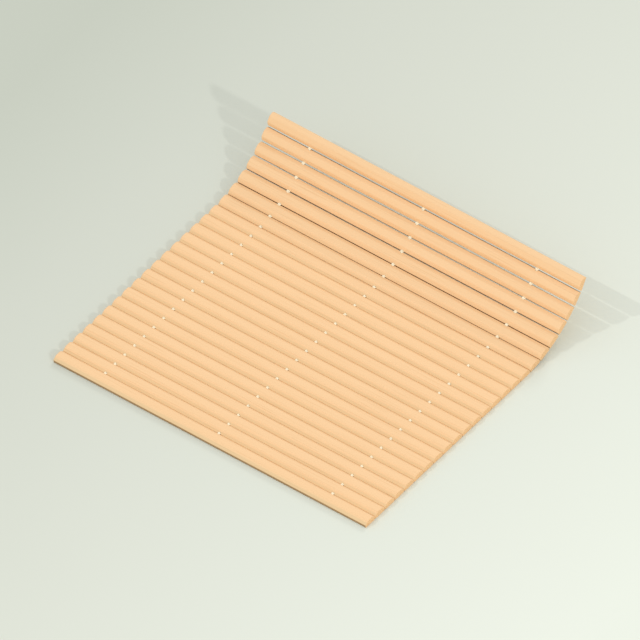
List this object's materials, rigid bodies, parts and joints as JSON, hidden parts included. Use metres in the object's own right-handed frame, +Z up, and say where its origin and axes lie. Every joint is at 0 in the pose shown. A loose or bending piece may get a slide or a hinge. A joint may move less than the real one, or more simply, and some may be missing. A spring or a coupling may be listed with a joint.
{
  "type": "sushi rolling mat",
  "caption": "Square mat of crowned bamboo slats threaded on rows of knotted cotton string; it rolls up either way and its rear edge is curled up.",
  "frame": {"origin": "on the table, under the centre of the mat's bounding box as it lies in the picture, with the rear edge curled up", "axes": "+X along the slats, +Y from the flat front edge to the curled rear edge, +Z up, out of the crowned face of the flat slats"},
  "size_m": [0.24, 0.226, 0.0382],
  "materials": {
    "bamboo": "satin",
    "cotton": "matte"
  },
  "bodies": {
    "slat_01": {"slat_01": "bamboo", "string_01": "cotton"},
    "slat_02": {"slat_02": "bamboo", "string_02": "cotton"},
    "slat_03": {"slat_03": "bamboo", "string_03": "cotton"},
    "slat_04": {"slat_04": "bamboo", "string_04": "cotton"},
    "slat_05": {"slat_05": "bamboo", "string_05": "cotton"},
    "slat_06": {"slat_06": "bamboo", "string_06": "cotton"},
    "slat_07": {"slat_07": "bamboo", "string_07": "cotton"},
    "slat_08": {"slat_08": "bamboo", "string_08": "cotton"},
    "slat_09": {"slat_09": "bamboo", "string_09": "cotton"},
    "slat_10": {"slat_10": "bamboo", "string_10": "cotton"},
    "slat_11": {"slat_11": "bamboo", "string_11": "cotton"},
    "slat_12": {"slat_12": "bamboo", "string_12": "cotton"},
    "slat_13": {"slat_13": "bamboo", "string_13": "cotton"},
    "slat_14": {"slat_14": "bamboo", "string_14": "cotton"},
    "slat_15": {"slat_15": "bamboo", "string_15": "cotton"},
    "slat_16": {"slat_16": "bamboo", "string_16": "cotton"},
    "slat_17": {"slat_17": "bamboo", "string_17": "cotton"},
    "slat_18": {"slat_18": "bamboo", "string_18": "cotton"},
    "slat_19": {"slat_19": "bamboo", "string_19": "cotton"},
    "slat_20": {"slat_20": "bamboo", "string_20": "cotton"},
    "slat_21": {"slat_21": "bamboo", "string_21": "cotton"},
    "slat_22": {"slat_22": "bamboo", "string_22": "cotton"},
    "slat_23": {"slat_23": "bamboo", "string_23": "cotton"},
    "slat_24": {"slat_24": "bamboo", "string_24": "cotton"}
  },
  "joints": [
    {"name": "bend_01", "type": "hinge", "parent": "slat_02", "child": "slat_01", "pos_m": [0, -0.10333, 0.0021], "axis": [-1, 0, 0], "range_deg": [-14.5, 24.5]},
    {"name": "bend_02", "type": "hinge", "parent": "slat_03", "child": "slat_02", "pos_m": [0, -0.0934, 0.0021], "axis": [-1, 0, 0], "range_deg": [-14.5, 25]},
    {"name": "bend_03", "type": "hinge", "parent": "slat_04", "child": "slat_03", "pos_m": [0, -0.08347, 0.0021], "axis": [-1, 0, 0], "range_deg": [-14.5, 25.5]},
    {"name": "bend_04", "type": "hinge", "parent": "slat_05", "child": "slat_04", "pos_m": [0, -0.07354, 0.0021], "axis": [-1, 0, 0], "range_deg": [-14.5, 26]},
    {"name": "bend_05", "type": "hinge", "parent": "slat_06", "child": "slat_05", "pos_m": [0, -0.06361, 0.0021], "axis": [-1, 0, 0], "range_deg": [-14.5, 26.5]},
    {"name": "bend_06", "type": "hinge", "parent": "slat_07", "child": "slat_06", "pos_m": [0, -0.05368, 0.0021], "axis": [-1, 0, 0], "range_deg": [-14.5, 27]},
    {"name": "bend_07", "type": "hinge", "parent": "slat_08", "child": "slat_07", "pos_m": [0, -0.04375, 0.0021], "axis": [-1, 0, 0], "range_deg": [-14.5, 27.5]},
    {"name": "bend_08", "type": "hinge", "parent": "slat_09", "child": "slat_08", "pos_m": [0, -0.03382, 0.0021], "axis": [-1, 0, 0], "range_deg": [-14.5, 28.5]},
    {"name": "bend_09", "type": "hinge", "parent": "slat_10", "child": "slat_09", "pos_m": [0, -0.02389, 0.0021], "axis": [-1, 0, 0], "range_deg": [-14.5, 29]},
    {"name": "bend_10", "type": "hinge", "parent": "slat_11", "child": "slat_10", "pos_m": [0, -0.01396, 0.0021], "axis": [-1, 0, 0], "range_deg": [-14.5, 29.5]},
    {"name": "bend_11", "type": "hinge", "parent": "slat_11", "child": "slat_12", "pos_m": [0, -0.00403, 0.0021], "axis": [1, 0, 0], "range_deg": [-14.5, 30.5]},
    {"name": "bend_12", "type": "hinge", "parent": "slat_12", "child": "slat_13", "pos_m": [0, 0.0059, 0.0021], "axis": [1, 0, 0], "range_deg": [-14.5, 31.5]},
    {"name": "bend_13", "type": "hinge", "parent": "slat_13", "child": "slat_14", "pos_m": [0, 0.01583, 0.0021], "axis": [1, 0, 0], "range_deg": [-14.5, 32]},
    {"name": "bend_14", "type": "hinge", "parent": "slat_14", "child": "slat_15", "pos_m": [0, 0.02576, 0.0021], "axis": [1, 0, 0], "range_deg": [-14.5, 33]},
    {"name": "bend_15", "type": "hinge", "parent": "slat_15", "child": "slat_16", "pos_m": [0, 0.03569, 0.0021], "axis": [1, 0, 0], "range_deg": [-14.5, 34.5]},
    {"name": "bend_16", "type": "hinge", "parent": "slat_16", "child": "slat_17", "pos_m": [0, 0.04562, 0.0021], "axis": [1, 0, 0], "range_deg": [-14.5, 35.5]},
    {"name": "bend_17", "type": "hinge", "parent": "slat_17", "child": "slat_18", "pos_m": [0, 0.05555, 0.0021], "axis": [1, 0, 0], "range_deg": [-22.75, 28.75]},
    {"name": "bend_18", "type": "hinge", "parent": "slat_18", "child": "slat_19", "pos_m": [0, 0.06538, 0.00352], "axis": [1, 0, 0], "range_deg": [-22.75, 30.25]},
    {"name": "bend_19", "type": "hinge", "parent": "slat_19", "child": "slat_20", "pos_m": [0, 0.0749, 0.00635], "axis": [1, 0, 0], "range_deg": [-22.75, 31.75]},
    {"name": "bend_20", "type": "hinge", "parent": "slat_20", "child": "slat_21", "pos_m": [0, 0.08392, 0.0105], "axis": [1, 0, 0], "range_deg": [-22.75, 33.75]},
    {"name": "bend_21", "type": "hinge", "parent": "slat_21", "child": "slat_22", "pos_m": [0, 0.09225, 0.01591], "axis": [1, 0, 0], "range_deg": [-22.75, 36.25]},
    {"name": "bend_22", "type": "hinge", "parent": "slat_22", "child": "slat_23", "pos_m": [0, 0.09971, 0.02246], "axis": [1, 0, 0], "range_deg": [-22.75, 39.25]},
    {"name": "bend_23", "type": "hinge", "parent": "slat_23", "child": "slat_24", "pos_m": [0, 0.10616, 0.03001], "axis": [1, 0, 0], "range_deg": [-22.75, 42.25]}
  ]
}
